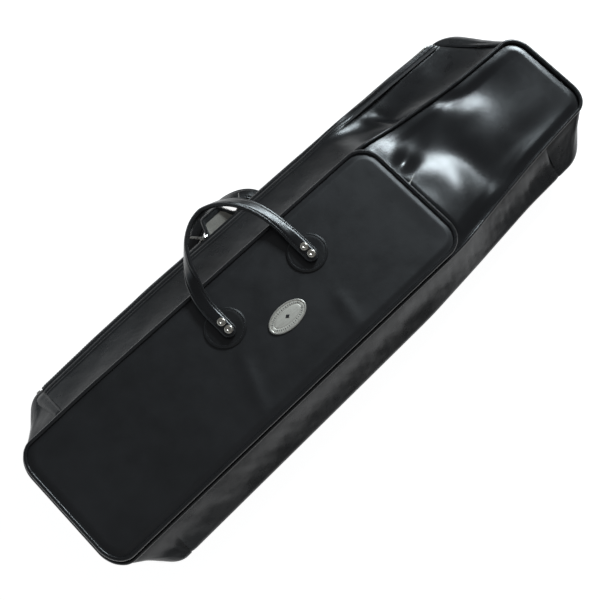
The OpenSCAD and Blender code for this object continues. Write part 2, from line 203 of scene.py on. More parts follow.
def hump(x, y, centre, size, turn=0.0):
    """Smooth oval hump, 1 in its middle."""
    c, s = math.cos(math.radians(turn)), math.sin(math.radians(turn))
    dx, dy = x - centre[0], y - centre[1]
    return np.exp(-(((dx * c + dy * s) / size[0]) ** 2) - ((-dx * s + dy * c) / size[1]) ** 2)


def crease(x, y, start, end, width):
    """Smooth line from start to end, 1 along its middle and fading at both ends."""
    start, end = np.array(start, float), np.array(end, float)
    d = end - start
    t = ((x - start[0]) * d[0] + (y - start[1]) * d[1]) / (d @ d)
    near = np.clip(t, 0, 1)
    off = np.hypot(x - start[0] - near * d[0], y - start[1] - near * d[1])
    return bell(off, width) * np.sqrt(np.clip(np.sin(np.pi * np.clip(t, 0.02, 0.98)), 0, 1))


def ripple(x, y, size, seed, stretch=1.0):
    """Gentle irregular waves of about one size, between -1 and 1."""
    draw = np.random.default_rng(seed)
    total = np.zeros_like(x)
    for _ in range(7):
        angle, phase = draw.uniform(0, math.pi), draw.uniform(0, 2 * math.pi)
        k = 2 * math.pi / size / draw.uniform(0.7, 1.5)
        total += np.sin(k * (x * math.cos(angle) / stretch + y * math.sin(angle)) + phase)
    return total / 4


def grid_normals(grid, closed=False):
    if closed:
        along = np.roll(grid, -1, 0) - np.roll(grid, 1, 0)
    else:
        along = np.gradient(grid, axis=0)
    across = np.gradient(grid, axis=1)
    n = np.cross(along, across)
    return n / np.maximum(np.linalg.norm(n, axis=2), 1e-9)[:, :, None]


def pushed(grid, amount, closed=False):
    """The grid moved along its own normals."""
    return grid + grid_normals(grid, closed) * np.asarray(amount)[..., None]


def resample(path, pitch, closed=False):
    """Evenly spaced points on a path, their share along it, and the unit directions there."""
    if closed:
        path = np.vstack([path, path[:1]])
    length = np.concatenate([[0], np.cumsum(np.linalg.norm(np.diff(path, axis=0), axis=1))])
    n = max(2, int(length[-1] / pitch))
    at = (np.arange(n) + 0.5) / n * length[-1]
    points = np.stack([np.interp(at, length, path[:, i]) for i in range(3)], 1)
    ahead = np.stack([np.interp(at + 0.3, length, path[:, i]) for i in range(3)], 1)
    behind = np.stack([np.interp(at - 0.3, length, path[:, i]) for i in range(3)], 1)
    d = ahead - behind
    index = np.interp(at, length, np.arange(len(path)))
    return points, d / np.linalg.norm(d, axis=1)[:, None], index


# ---------------------------------------------------------------- meshes
def add_mesh(name, points, faces, material, sharp=None):
    mesh = bpy.data.meshes.new(name)
    mesh.from_pydata((np.asarray(points) * MM).tolist(), [], faces)
    bm = bmesh.new()
    bm.from_mesh(mesh)
    bmesh.ops.recalc_face_normals(bm, faces=bm.faces)
    bm.to_mesh(mesh)
    bm.free()
    mesh.shade_smooth()
    if sharp:
        mesh.set_sharp_from_angle(angle=math.radians(sharp))
    obj = bpy.data.objects.new(name, mesh)
    bpy.context.scene.collection.objects.link(obj)
    mesh.materials.append(material)
    return obj


def sew(piece, *nodes):
    """The piece moves with the case and stands for these CAD nodes."""
    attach(piece, "case")
    if nodes:
        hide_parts(*nodes)


def shell(name, outer, thickness, material, closed=False, keep=None, inner=None):
    """Closed solid between a grid of points and the same grid moved inwards. keep picks cells."""
    if inner is None:
        inner = outer - grid_normals(outer, closed) * thickness
    rows, cols = outer.shape[:2]
    cells = rows if closed else rows - 1
    if keep is None:
        keep = np.ones((cells, cols - 1), bool)
    count = rows * cols
    faces = []
    for i in range(cells):
        k = (i + 1) % rows
        before, after = (i - 1) % rows, (i + 1) % rows
        for j in range(cols - 1):
            if not keep[i, j]:
                continue
            a, b, c, d = i * cols + j, i * cols + j + 1, k * cols + j + 1, k * cols + j
            faces.append((a, b, c, d))
            faces.append((a + count, d + count, c + count, b + count))
            if j == 0 or not keep[i, j - 1]:
                faces.append((a, d, d + count, a + count))
            if j == cols - 2 or not keep[i, j + 1]:
                faces.append((b, b + count, c + count, c))
            if (i == 0 and not closed) or not keep[before, j]:
                faces.append((a, a + count, b + count, b))
            if (i == cells - 1 and not closed) or (after < cells and not keep[after, j]):
                faces.append((d, c, c + count, d + count))
    points = np.vstack([outer.reshape(-1, 3), inner.reshape(-1, 3)])
    used = sorted({v for f in faces for v in f})
    number = {v: i for i, v in enumerate(used)}
    faces = [tuple(number[v] for v in f) for f in faces]
    return add_mesh(name, points[used], faces, material, sharp=60)


def frames_of(path, closed=False):
    """Direction, sideways and upward unit vectors along a path that stays nearly level."""
    if closed:
        d = np.roll(path, -1, 0) - np.roll(path, 1, 0)
    else:
        d = np.gradient(path, axis=0)
    d = d / np.linalg.norm(d, axis=1)[:, None]
    side = np.cross(d, [0, 0, 1])
    side /= np.linalg.norm(side, axis=1)[:, None]
    return d, side, np.cross(side, d)


def loft(rows, closed=False):
    """Points and faces of a skin through closed sections, capped at its two ends."""
    n, m = rows.shape[:2]
    faces = []
    for i in range(n if closed else n - 1):
        k = (i + 1) % n
        for j in range(m):
            faces.append((i * m + j, i * m + (j + 1) % m, k * m + (j + 1) % m, k * m + j))
    if not closed:
        faces.append(tuple(range(m)))
        faces.append(tuple((n - 1) * m + j for j in reversed(range(m))))
    return rows.reshape(-1, 3), faces


def tube(name, path, radius, material, closed=False, sides=12):
    d, side, up = frames_of(path, closed)
    angle = np.arange(sides) / sides * 2 * math.pi
    radius = np.broadcast_to(radius, len(path))[:, None, None]
    rows = path[:, None] + radius * (np.cos(angle)[None, :, None] * side[:, None]
                                     + np.sin(angle)[None, :, None] * up[:, None])
    points, faces = loft(rows, closed)
    return add_mesh(name, points, faces, material)


def lathe(profile, sides=32):
    """Points and faces of a turned solid; profile goes from axis to axis as (radius, height)."""
    profile = np.array(profile, float)
    angle = np.arange(sides) / sides * 2 * math.pi
    points, faces, rings = [], [], []
    for r, z in profile:
        if r < 1e-6:
            rings.append([len(points)])
            points.append((0, 0, z))
        else:
            rings.append(list(range(len(points), len(points) + sides)))
            points += [(r * math.cos(a), r * math.sin(a), z) for a in angle]
    for low, high in zip(rings, rings[1:]):
        for j in range(sides):
            k = (j + 1) % sides
            if len(low) == 1:
                faces.append((low[0], high[j], high[k]))
            elif len(high) == 1:
                faces.append((low[j], low[k], high[0]))
            else:
                faces.append((low[j], low[k], high[k], high[j]))
    return np.array(points), faces


def bead(length, width, height, sides=8, rings=5):
    """Small rounded bar along X, for stitches and teeth."""
    profile = [(math.sin(math.pi * i / rings) ** 0.6, -math.cos(math.pi * i / rings))
               for i in range(1, rings)]
    points, faces = lathe([(0, -1), *profile, (0, 1)], sides)
    points = points[:, [2, 0, 1]] * np.array([length, width, height]) / 2
    return points, faces


def scatter(name, template, places, axes, material, scale=None):
    """One mesh of many copies: each row of axes holds a copy's X, Y and Z directions."""
    points, faces = template
    n = len(points)
    out, all_faces = [], []
    for i, (place, axis) in enumerate(zip(places, axes)):
        local = points if scale is None else points * scale[i]
        out.append(local @ np.asarray(axis) + place)
        all_faces += [tuple(v + i * n for v in f) for f in faces]
    return add_mesh(name, np.vstack(out), all_faces, material)


def stitches(name, path, normals, body=None, pitch=3.4, length=2.5, width=0.75,
             closed=False):
    """A row of sewn stitches that lies on a surface. body is the CAD body it rides on."""
    places, along, index = resample(path, pitch, closed)
    if closed:
        normals = np.vstack([normals, normals[:1]])
    up = np.stack([np.interp(index, np.arange(len(normals)), normals[:, i]) for i in range(3)], 1)
    up -= (up * along).sum(1)[:, None] * along
    up /= np.linalg.norm(up, axis=1)[:, None]
    axes = np.stack([along, np.cross(up, along), up], 1)
    obj = scatter(name, bead(length, width, width * 0.8, 6, 4), places + up * 0.12, axes,
                  THREAD)
    if body:
        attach(obj, body)
    return obj


def column(grid, normals, place):
    """A line of points across a grid's columns, at a fractional column number."""
    j = int(min(max(math.floor(place), 0), grid.shape[1] - 2))
    t = place - j
    return (grid[:, j] * (1 - t) + grid[:, j + 1] * t,
            normals[:, j] * (1 - t) + normals[:, j + 1] * t)


# ---------------------------------------------------------------- materials
def nodes_of(name):
    """A new material, its tree and shader, and coordinates that stay on the piece."""
    material = bpy.data.materials.new(name)
    material.use_nodes = True
    tree = material.node_tree
    shader = tree.nodes["Principled BSDF"]
    coords = tree.nodes.new("ShaderNodeTexCoord")
    return material, tree, shader, coords.outputs["Object"]


def add(tree, kind, **values):
    node = tree.nodes.new(kind)
    for key, value in values.items():
        if key in node.inputs:
            node.inputs[key].default_value = value
        else:
            setattr(node, key, value)
    return node


def noise(tree, coords, scale, detail=3.0, rough=0.55):
    node = add(tree, "ShaderNodeTexNoise", Scale=scale, Detail=detail, Roughness=rough)
    tree.links.new(coords, node.inputs["Vector"])
    return node.outputs["Fac"]


def cells(tree, coords, scale):
    node = add(tree, "ShaderNodeTexVoronoi", Scale=scale)
    tree.links.new(coords, node.inputs["Vector"])
    return node.outputs["Distance"]


def ramp(tree, value, low, high, out_low, out_high):
    node = add(tree, "ShaderNodeMapRange")
    node.inputs["From Min"].default_value = low
    node.inputs["From Max"].default_value = high
    node.inputs["To Min"].default_value = out_low
    node.inputs["To Max"].default_value = out_high
    tree.links.new(value, node.inputs["Value"])
    return node.outputs["Result"]


def tint(tree, value, dark, light):
    node = add(tree, "ShaderNodeMix", data_type="RGBA")
    node.inputs["A"].default_value = (*dark, 1)
    node.inputs["B"].default_value = (*light, 1)
    tree.links.new(value, node.inputs["Factor"])
    return node.outputs["Result"]


def blend_to(tree, value, colour, light):
    """From a linked colour to a plain one, as value goes from 0 to 1."""
    node = add(tree, "ShaderNodeMix", data_type="RGBA")
    node.inputs["B"].default_value = (*light, 1)
    tree.links.new(value, node.inputs["Factor"])
    tree.links.new(colour, node.inputs["A"])
    return node.outputs["Result"]


def combine(tree, kind, a, b):
    node = add(tree, "ShaderNodeMath", operation=kind)
    for socket, value in zip(node.inputs, (a, b)):
        if isinstance(value, (int, float)):
            socket.default_value = value
        else:
            tree.links.new(value, socket)
    return node.outputs["Value"]


def bump(tree, shader, height, strength, depth, after=None):
    node = add(tree, "ShaderNodeBump", Strength=strength, Distance=depth)
    tree.links.new(height, node.inputs["Height"])
    if after is not None:
        tree.links.new(after, node.inputs["Normal"])
    tree.links.new(node.outputs["Normal"], shader.inputs["Normal"])
    return node.outputs["Normal"]


def finish(tree, shader, colour, gloss, low, high, rough_low, rough_high):
    tree.links.new(colour, shader.inputs["Base Color"])
    tree.links.new(ramp(tree, gloss, low, high, rough_low, rough_high), shader.inputs["Roughness"])


def leather(name, dark, light, rough, fold, wear=0.0, patchy=1.0):
    """Imitation leather: fine pebbled grain, faint long creases, and worn edges."""
    material, tree, shader, coords = nodes_of(name)
    clouds = noise(tree, coords, 14.0, 4.0)
    colour = tint(tree, ramp(tree, clouds, 0.3, 0.7, 0, 1), dark, light)
    if wear:
        geometry = tree.nodes.new("ShaderNodeNewGeometry")
        edge = ramp(tree, geometry.outputs["Pointiness"], 0.51, 0.58, 0, wear)
        colour = blend_to(tree, edge, colour, (0.10, 0.10, 0.105))
    smudge = noise(tree, coords, 38.0, 5.0, 0.6)
    finish(tree, shader, colour, smudge, 0.3, 0.75, rough - 0.06 * patchy, rough + 0.09 * patchy)
    pebbles = combine(tree, "MULTIPLY", cells(tree, coords, 1150.0), 0.7)
    pores = noise(tree, coords, 2600.0, 2.0)
    fine = combine(tree, "ADD", pebbles, combine(tree, "MULTIPLY", pores, 0.35))
    long_folds = noise(tree, coords, 75.0, 4.0, 0.5)
    first = bump(tree, shader, long_folds, fold, 0.0012)
    bump(tree, shader, fine, 0.22, 0.00022, first)
    return material


def woven(name, dark, light, pitch, rough=0.85, sheen=0.25):
    """Plain weave: two crossing sets of threads that pass over and under each other."""
    material, tree, shader, coords = nodes_of(name)
    shader.inputs["Sheen Weight"].default_value = sheen
    waves = []
    for axis in ("X", "Y"):
        wave = add(tree, "ShaderNodeTexWave", Scale=1 / pitch, Distortion=0.6, Detail=1.0)
        wave.bands_direction = axis
        tree.links.new(coords, wave.inputs["Vector"])
        waves.append(wave.outputs["Fac"])
    height = combine(tree, "MAXIMUM", *waves)
    speckle = noise(tree, coords, 420.0, 3.0)
    # The gaps between the threads are painted darker as painted shade; the speckle adds random tone
    # on top.
    gap_shade_and_speckle = combine(tree, "MULTIPLY", height, ramp(tree, speckle, 0.3, 0.7, 0.6, 1.0))
    colour = tint(tree, gap_shade_and_speckle, dark, light)
    finish(tree, shader, colour, speckle, 0.3, 0.7, rough - 0.08, rough + 0.08)
    bump(tree, shader, height, 0.5, 0.0003)
    return material


def metal(name, dark, light, rough, brushed=False, part=1.0):
    material, tree, shader, coords = nodes_of(name)
    shader.inputs["Metallic"].default_value = part
    if brushed:
        stretch = add(tree, "ShaderNodeMapping")
        stretch.inputs["Scale"].default_value = (90, 2600, 600)
        tree.links.new(coords, stretch.inputs["Vector"])
        lines = noise(tree, stretch.outputs["Vector"], 1.0, 3.0)
    else:
        lines = noise(tree, coords, 320.0, 4.0, 0.6)
    colour = tint(tree, ramp(tree, lines, 0.3, 0.7, 0, 1), dark, light)
    finish(tree, shader, colour, lines, 0.25, 0.75, rough - 0.05, rough + 0.12)
    bump(tree, shader, lines, 0.12, 0.0001)
    return material


def plastic(name, dark, light, rough):
    material, tree, shader, coords = nodes_of(name)
    specks = noise(tree, coords, 500.0, 4.0)
    colour = tint(tree, specks, dark, light)
    finish(tree, shader, colour, specks, 0.3, 0.7, rough - 0.06, rough + 0.08)
    bump(tree, shader, specks, 0.15, 0.0001)
    return material


LEATHER = leather("case_leather", (0.008, 0.008, 0.009), (0.016, 0.0165, 0.018), 0.30, fold=0.30)
PANEL_LEATHER = leather("panel_leather", (0.008, 0.008, 0.009), (0.013, 0.0135, 0.015), 0.245,
                        fold=0.10, patchy=0.4)
POCKET_LEATHER = leather("pocket_leather", (0.015, 0.015, 0.016), (0.024, 0.024, 0.026), 0.43,
                         fold=0.10)
STRAP_LEATHER = leather("strap_leather", (0.006, 0.006, 0.007), (0.012, 0.012, 0.013), 0.27,
                        fold=0.15, wear=0.25)
PATCH_LEATHER = leather("patch_leather", (0.009, 0.009, 0.010), (0.015, 0.015, 0.016), 0.38,
                        fold=0.15)
PIPING = leather("piping_leather", (0.006, 0.006, 0.007), (0.011, 0.011, 0.012), 0.27, fold=0.12,
                 wear=0.2)
THREAD = woven("black_thread", (0.012, 0.012, 0.013), (0.035, 0.035, 0.037), 0.0006, 0.55, 0.1)
LINING = woven("lining_cloth", (0.27, 0.25, 0.22), (0.48, 0.45, 0.40), 0.0011)
TAPE = woven("zip_tape_cloth", (0.008, 0.008, 0.009), (0.022, 0.022, 0.024), 0.0009, 0.7, 0.1)
WEBBING = woven("loop_webbing", (0.010, 0.010, 0.011), (0.04, 0.04, 0.043), 0.0018, 0.75)
DIVIDER = woven("divider_cloth", (0.05, 0.05, 0.055), (0.11, 0.11, 0.12), 0.0014, 0.9)
TEETH = plastic("zip_teeth_nylon", (0.010, 0.010, 0.011), (0.025, 0.025, 0.027), 0.38)
BOARD = plastic("stiffener_board", (0.30, 0.22, 0.13), (0.42, 0.33, 0.21), 0.8)
ZIP_METAL = metal("zip_nickel", (0.48, 0.46, 0.43), (0.72, 0.70, 0.66), 0.24)
RIVET_METAL = metal("rivet_nickel", (0.55, 0.50, 0.43), (0.80, 0.76, 0.68), 0.22)
BADGE_METAL = metal("badge_brushed", (0.66, 0.63, 0.56), (0.86, 0.83, 0.75), 0.45, True, 0.35)
BADGE_RIM = metal("badge_polished", (0.66, 0.63, 0.57), (0.84, 0.81, 0.75), 0.30, part=0.6)
BADGE_DARK = plastic("badge_enamel", (0.015, 0.015, 0.017), (0.05, 0.05, 0.055), 0.3)


# ---------------------------------------------------------------- side surfaces
FOLD_SOFT = 0.075
# thickness of leather, lining and zip tape, and half the distance between the two zipped edges
SKIN = 2.2
LINING_T = 0.8
TAPE_T = 0.7
LIP_GAP = 4.5


def across_two(front, waist, back, s):
    """Grid over the folded side: s is 0 at the front seam, 1 at the fold and 2 at the back seam."""
    grid = np.zeros((len(front), len(s), 3))
    for j, v in enumerate(s):
        if v <= 1 - FOLD_SOFT:
            grid[:, j] = front * (1 - v) + waist * v
        elif v >= 1 + FOLD_SOFT:
            grid[:, j] = waist * (2 - v) + back * (v - 1)
        else:
            t = (v - 1 + FOLD_SOFT) / (2 * FOLD_SOFT)
            one = waist + (front - waist) * FOLD_SOFT
            two = waist + (back - waist) * FOLD_SOFT
            grid[:, j] = one * (1 - t) ** 2 + waist * 2 * t * (1 - t) + two * t * t
    return grid


def seam_dip(us, start, stop):
    """The leather turns in where a piece ends at a cross seam."""
    return -0.9 * (bell((us - start) * STEP_X, 3.2) + bell((us - stop) * STEP_X, 3.2))


def gusset_grid(start, stop, seed):
    us = stations(start, stop)
    s = np.linspace(0, 2, 45)
    front, back = ring(FRONT, us, 0.6, -0.3), ring(BACK, us, 0.6, 0.3)
    grid = across_two(front, ring(WAIST, us, -1.2), back, s)
    x, y = grid[:, :, 0], grid[:, :, 1]
    faces = np.sin(np.pi * s)[None, :] ** 2
    run = (us * STEP_X)[:, None] + 0 * x
    height = 40 * s[None, :] + 0 * x
    amount = -2.2 * faces * (0.7 + 0.5 * ripple(run, height, 150, seed))
    amount += 0.55 * ripple(run, height, 46, seed + 1) * faces
    amount += 0.28 * ripple(run, height, 17, seed + 2, 0.6) * np.sqrt(faces)
    amount += seam_dip(us, start, stop)[:, None]
    amount += 0.5 * bell((s[None, :] - 1) * 40, 3.5)
    return pushed(grid, amount)


# first and last station of each folded side, and the seed of its waves
FOLDED = {
    "bottom": (MINUS_SIDE + 1, NEAR_CORNER - 1, 11),
    "near_end": (NEAR_CORNER - 1, COUNT + 1, 21),
    "far_end": (SIDE, MINUS_SIDE + 1, 31),
}
folded_grids = {place: gusset_grid(*span) for place, span in FOLDED.items()}
for place, grid in folded_grids.items():
    sew(shell(place + "_side", grid, SKIN, LEATHER), place + "_gusset")
for place, grid in folded_grids.items():
    inner = grid - grid_normals(grid) * (SKIN + 0.5)
    sew(shell(place + "_lining", inner[:, 1:-1], LINING_T, LINING), "lining_" + place)


# ---------------------------------------------------------------- zipped side
LIP_S = np.concatenate([np.linspace(0, 0.72, 22), np.linspace(0.735, 1, 22)])
# where the back lip hangs open, and how far
GAPE_X = (-70, -16)
GAPE = 27
# share of the back lip's width that stands out as a brow
BROW = 0.12
# distances of the two rows of stitches from a zipped edge
SEWN = (3.2, 9.0)


def gape(x):
    """How far the back lip hangs open between the two sliders."""
    middle, half = (GAPE_X[0] + GAPE_X[1]) / 2, (GAPE_X[1] - GAPE_X[0]) / 2
    return GAPE * ease(1.8 * (1 - np.abs(x - middle) / half))


def droop(open_by):
    """How far the back lip and its zip half hang down where they stand open."""
    return 0.2 * open_by + 4.0 * ease(open_by / 3)


def hem(distance):
    """Height of the turned zip edge: two sewn grooves with a soft rib between and beside them."""
    return (0.9 * ease((13 - distance) / 4) - 0.75 * bell(distance - SEWN[0], 0.9)
            - 0.75 * bell(distance - SEWN[1], 0.9))


def front_lip_grid(us):
    top = ring(FRONT, us, 0.6, -0.3)
    edge = ring(WAIST, us, 1.6, LIP_GAP)
    s = LIP_S[None, :, None]
    grid = top[:, None] * (1 - s) + edge[:, None] * s
    width = np.linalg.norm(edge - top, axis=1)[:, None]
    x = grid[:, :, 0]
    s2 = LIP_S[None, :] + 0 * x
    across = s2 * width
    amount = hem(width - across)
    body = np.sin(np.pi * s2) ** 0.8
    shelf = ease((x - 126) / 62) * (0.35 + 0.65 * ease((300 - x) / 90))
    amount += body * (-1.4 - 9.5 * shelf)
    amount += 0.7 * body * ripple(x, across, 95, 41)
    amount += 0.15 * body * ripple(x, across, 34, 42)
    amount += seam_dip(us, 1, SIDE)[:, None]
    amount += 4.0 * hump(x, across, (150, 56), (32, 9))
    # two soft pleats run from the pocket's far corner to the zip
    amount += 2.0 * crease(x, across, (206, 2), (190, 46), 6)
    amount -= 2.2 * crease(x, across, (218, 4), (206, 50), 8)
    return pushed(grid, amount)


def back_lip_grid(us):
    edge = ring(WAIST, us, 0.8, -LIP_GAP - 0.8)
    brow = ring(WAIST, us, -3.6, -LIP_GAP - 5.5)
    foot = ring(BACK, us, 0.6, 0.3)
    s = 1 - LIP_S[::-1]
    grid = edge[:, None] * (1 - s[None, :, None]) + foot[:, None] * s[None, :, None]
    # the sewn edge stands out as a brow before the leather turns under
    out = s / BROW * np.exp(1 - s / BROW)
    grid += out[None, :, None] * (brow - edge * (1 - BROW) - foot * BROW)[:, None]
    width = np.linalg.norm(edge - foot, axis=1)[:, None]
    x = grid[:, :, 0]
    s2 = s[None, :] + 0 * x
    across = s2 * width
    body = np.sin(np.pi * s2) ** 0.8
    amount = hem(across) - 1.6 * body
    amount += 0.8 * body * ripple(x, across, 90, 51) + 0.3 * body * ripple(x, across, 28, 52)
    amount += seam_dip(us, 1, SIDE)[:, None]
    grid = pushed(grid, amount)
    open_by = gape(x) * (1 - s2) ** 1.6
    grid[:, :, 1] += open_by
    grid[:, :, 2] -= droop(gape(x)) * (1 - s2) ** 1.6
    return grid


LIP_SPLIT = -45.0


def split_rows(us, x):
    """Row numbers of the two halves of the front lip, which meet between the sliders."""
    middle = int(np.argmin(np.abs(x - LIP_SPLIT)))
    return {"near": slice(0, middle + 1), "far": slice(middle, len(us))}


def bend_lip(piece):
    """Bakes the piece's placement into its mesh."""
    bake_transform(piece)


zip_us = stations(1, SIDE)
front_lip = front_lip_grid(zip_us)
back_lip = back_lip_grid(zip_us)
halves = split_rows(zip_us, front_lip[:, 0, 0])
lip_normals = grid_normals(front_lip)
front_lining = front_lip - lip_normals * (SKIN + 0.6)
# CAD nodes of the front lip's leather, lining, tape and teeth, in its two halves
LIP_NODES = {
    "near": (["front_lip"], ["front_lip_lining"], ["front_zip_tape"], ["front_zip_coil"]),
    "far": (["front_lip_far"], [], ["far_zip_tape"], ["far_zip_coil"]),
}


def seam_columns(lip, shares, edge, inwards):
    """Column numbers of the rows of stitches, counted inwards from the share of the zipped edge."""
    width = np.linalg.norm(lip[:, -1] - lip[:, 0], axis=1).mean()
    return [np.interp(edge + inwards * distance / width, shares, np.arange(len(shares)))
            for distance in SEWN]


def tape_grid(side, us):
    """Zip tape from behind a lip to its row of teeth."""
    root = ring(WAIST, us, 11.5, side * (LIP_GAP + 5.5))
    lip = ring(WAIST, us, 5.4, side * 3.9)
    teeth = ring(WAIST, us, 1.4, side * 2.3)
    grid = np.stack([root, root * 0.5 + lip * 0.5, lip, lip * 0.5 + teeth * 0.5, teeth], 1)
    if side < 0:
        grid[:, :, 1] += gape(grid[:, :, 0])
        grid[:, :, 2] -= droop(gape(grid[:, :, 0]))
        grid = grid[:, ::-1]
    return grid


def teeth_along(name, path, pitch, template):
    places, along, _ = resample(path, pitch)
    up = np.tile([0.0, 0.0, 1.0], (len(places), 1))
    axes = np.stack([along, np.cross(up, along), up], 1)
    return scatter(name, template, places, axes, TEETH)


def teeth_of(name, side, us):
    path = ring(WAIST, us, 1.0, side * 1.55)
    if side < 0:
        path[:, 1] += gape(path[:, 0])
        path[:, 2] -= droop(gape(path[:, 0]))
    return teeth_along(name, path, 1.9, bead(1.25, 2.4, 2.5))


front_tape = tape_grid(1, zip_us)
for half, rows in halves.items():
    lip = front_lip[rows]
    pieces = [
        shell(f"front_lip_{half}_leather", lip, SKIN, LEATHER),
        shell(f"front_lip_{half}_lining", front_lining[rows][:, 2:-3], LINING_T, LINING),
        shell(f"front_zip_tape_{half}", front_tape[rows], TAPE_T, TAPE),
        teeth_of(f"front_zip_teeth_{half}", 1, zip_us[rows]),
    ]
    for piece, nodes in zip(pieces, LIP_NODES[half]):
        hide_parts(*nodes)
    for number, place in enumerate(seam_columns(lip, LIP_S, 1, -1)):
        line, normals = column(lip, lip_normals[rows], place)
        pieces.append(stitches(f"front_lip_stitches_{half}_{number}", line, normals))
    for piece in pieces:
        bend_lip(piece)

back_normals = grid_normals(back_lip)
back_lining = (back_lip - back_normals * (SKIN + 0.25))[:, :-1]
sew(shell("back_lip_leather", back_lip, SKIN, LEATHER), "rear_lip")
sew(shell("back_lip_lining", back_lining, LINING_T, LINING), "lining_rear_lip")
sew(shell("back_zip_tape", tape_grid(-1, zip_us), TAPE_T, TAPE), "rear_zip_tape")
sew(teeth_of("back_zip_teeth", -1, zip_us), "rear_zip_coil")
for number, place in enumerate(seam_columns(back_lip, 1 - LIP_S[::-1], 0, 1)):
    line, normals = column(back_lip, back_normals, place)
    stitches(f"back_lip_stitches_{number}", line, normals, "case")


# leather tabs over the near cross seam, one on each side of the zip
TAB_W = 9.0


def seam_tab(low_s, high_s):
    s = np.linspace(low_s, high_s, 24)
    share = np.linspace(0, 1, 20)
    waist = ring(WAIST, np.interp(share, [0, 1], [COUNT - 1, COUNT + 1]), -1.2)
    levels = []
    for level, dz in ((FRONT, -0.3), (BACK, 0.3)):
        x = SEAM_NEAR - TAB_W * (1 - share)
        us = COUNT + np.interp(x, level.station_x, range(SIDE + 1))
        levels.append(ring(level, us, 0.6, dz))
    grid = across_two(levels[0], waist, levels[1], s)
    edge = np.minimum(np.minimum(share, 1 - share)[:, None] * TAB_W,
                      np.minimum(s - s[0], s[-1] - s)[None, :] * 45)
    return pushed(grid, 0.3 + 0.9 * ease(edge / 3))


for i, span in enumerate([(0.05, 0.87), (1.15, 1.93)]):
    tab = shell(f"seam_tab_{i}", seam_tab(*span), 1.6, LEATHER)
    sew(tab, *["end_seam_tabs"][i:])


# ---------------------------------------------------------------- panels
def panel_rows(level, inset, columns=91):
    """Grid over a whole panel: rows go from the near end to the far end, columns from +Y to -Y."""
    rows = stations(-5, FAR_END)
    plus = ring(level, rows, inset)
    minus = ring(level, NEAR_CORNER - rows, inset)
    v = 0.5 - 0.5 * np.cos(np.pi * np.linspace(0, 1, columns))
    v = 0.65 * v + 0.35 * np.linspace(0, 1, columns)
    return plus[:, None] * (1 - v[None, :, None]) + minus[:, None] * v[None, :, None]


def edge_distance(grid):
    """How far each grid point is from the panel's outline."""
    outline = np.vstack([grid[:, 0], grid[-1], grid[::-1, -1], grid[0, ::-1]])[:, :2]
    flat = grid[:, :, :2].reshape(-1, 2)
    best = np.full(len(flat), 1e9)
    for part in np.array_split(outline, 12):
        gap = np.linalg.norm(flat[:, None] - part[None], axis=2).min(1)
        best = np.minimum(best, gap)
    return best.reshape(grid.shape[:2])


def panel_solid(name, top, bottom, material):
    return shell(name, top, 0, material, inner=bottom)


def at_height(grid, z):
    out = grid.copy()
    out[:, :, 2] = z
    return out


# Soft folds of the panel's slack far end: middle, size, turn and height. These numbers were not
# chosen by hand: another program fitted them to the photo's highlights. Folds placed by hand
# should replace them.
FAR_FOLDS = [
    (162, 18, 29, 48, 62, 3.8),
    (195, 81, 12, 42, 87, -6.5),
    (203, 51, 37, 20, 15, -3.8),
    (212, 17, 18, 40, 46, -1.0),
    (280, 31, 13, 26, 85, 1.1),
    (189, -36, 34, 24, 74, 3.8),
    (148, -46, 49, 70, 64, 4.0),
    (241, -66, 46, 17, 31, -2.6),
    (234, -23, 58, 22, 87, -3.3),
    (278, 70, 13, 22, 67, -9.1),
    (305, -46, 52, 30, 6, -2.0),
    (301, -63, 14, 57, 88, 3.6),
    (169, 37, 16, 11, 13, -5.6),
    (255, 74, 13, 13, 6, 3.7),
    (331, 42, 46, 41, 30, -5.0),
    (148, 37, 19, 56, 21, -2.3),
]


def soft_end(x, y):
    """Folds of the far end of the front panel, which nothing stiffens."""
    z = 0.10 * ripple(x, y, 60, 61)
    for mx, my, size_x, size_y, turn, height in FAR_FOLDS:
        z += height * hump(x, y, (mx, my), (size_x, size_y), turn)
    return z


def front_top(grid):
    x, y = grid[:, :, 0], grid[:, :, 1]
    edge = edge_distance(grid)
    slack = ease((x - 143) / 10) * ease(edge / 22)
    return grid[:, :, 2] + 0.4 + 1.4 * ease(edge / 12) + soft_end(x, y) * slack


front_grid = panel_rows(FRONT, 3.6)
front_z = front_top(front_grid)
front_under_z = np.minimum(front_z - 2.4, front_grid[:, :, 2] + 0.3)
front_panel = panel_solid("front_panel_leather", at_height(front_grid, front_z),
                          at_height(front_grid, front_under_z), PANEL_LEATHER)
sew(front_panel, "front_panel")

front_lining_grid = panel_rows(FRONT, 7.5, columns=41)
front_lining_grid[:, :, 2] = np.minimum(front_lining_grid[:, :, 2] - 2.0,
                                        front_top(front_lining_grid) - 3.6)
sew(panel_solid("front_lining_cloth", front_lining_grid,
                front_lining_grid - np.array([0, 0, LINING_T]), LINING), "lining_front")

# pocket lid
POCKET_TOP = box("pocket_panel")[1][2]
pocket_grid = panel_rows(POCKET, 2.4)
pocket_edge = edge_distance(pocket_grid)
px, py = pocket_grid[:, :, 0], pocket_grid[:, :, 1]
pocket_z = (POCKET_TOP - 1.9 * (1 - ease(pocket_edge / 9))
            + ease(pocket_edge / 30) * (0.50 * ripple(px, py, 150, 71) - 0.5))
# two soft rises where the lid is not quite flat
pocket_z += (1.6 * crease(px, py, (-151, -3), (-180, -75), 9)
             + 1.4 * crease(px, py, (-20, -25), (-30, -76), 10))
pocket_panel = panel_solid("pocket_panel_leather", at_height(pocket_grid, pocket_z),
                           at_height(pocket_grid, POCKET_TOP - 3.2),
                           POCKET_LEATHER)
sew(pocket_panel, "pocket_panel")

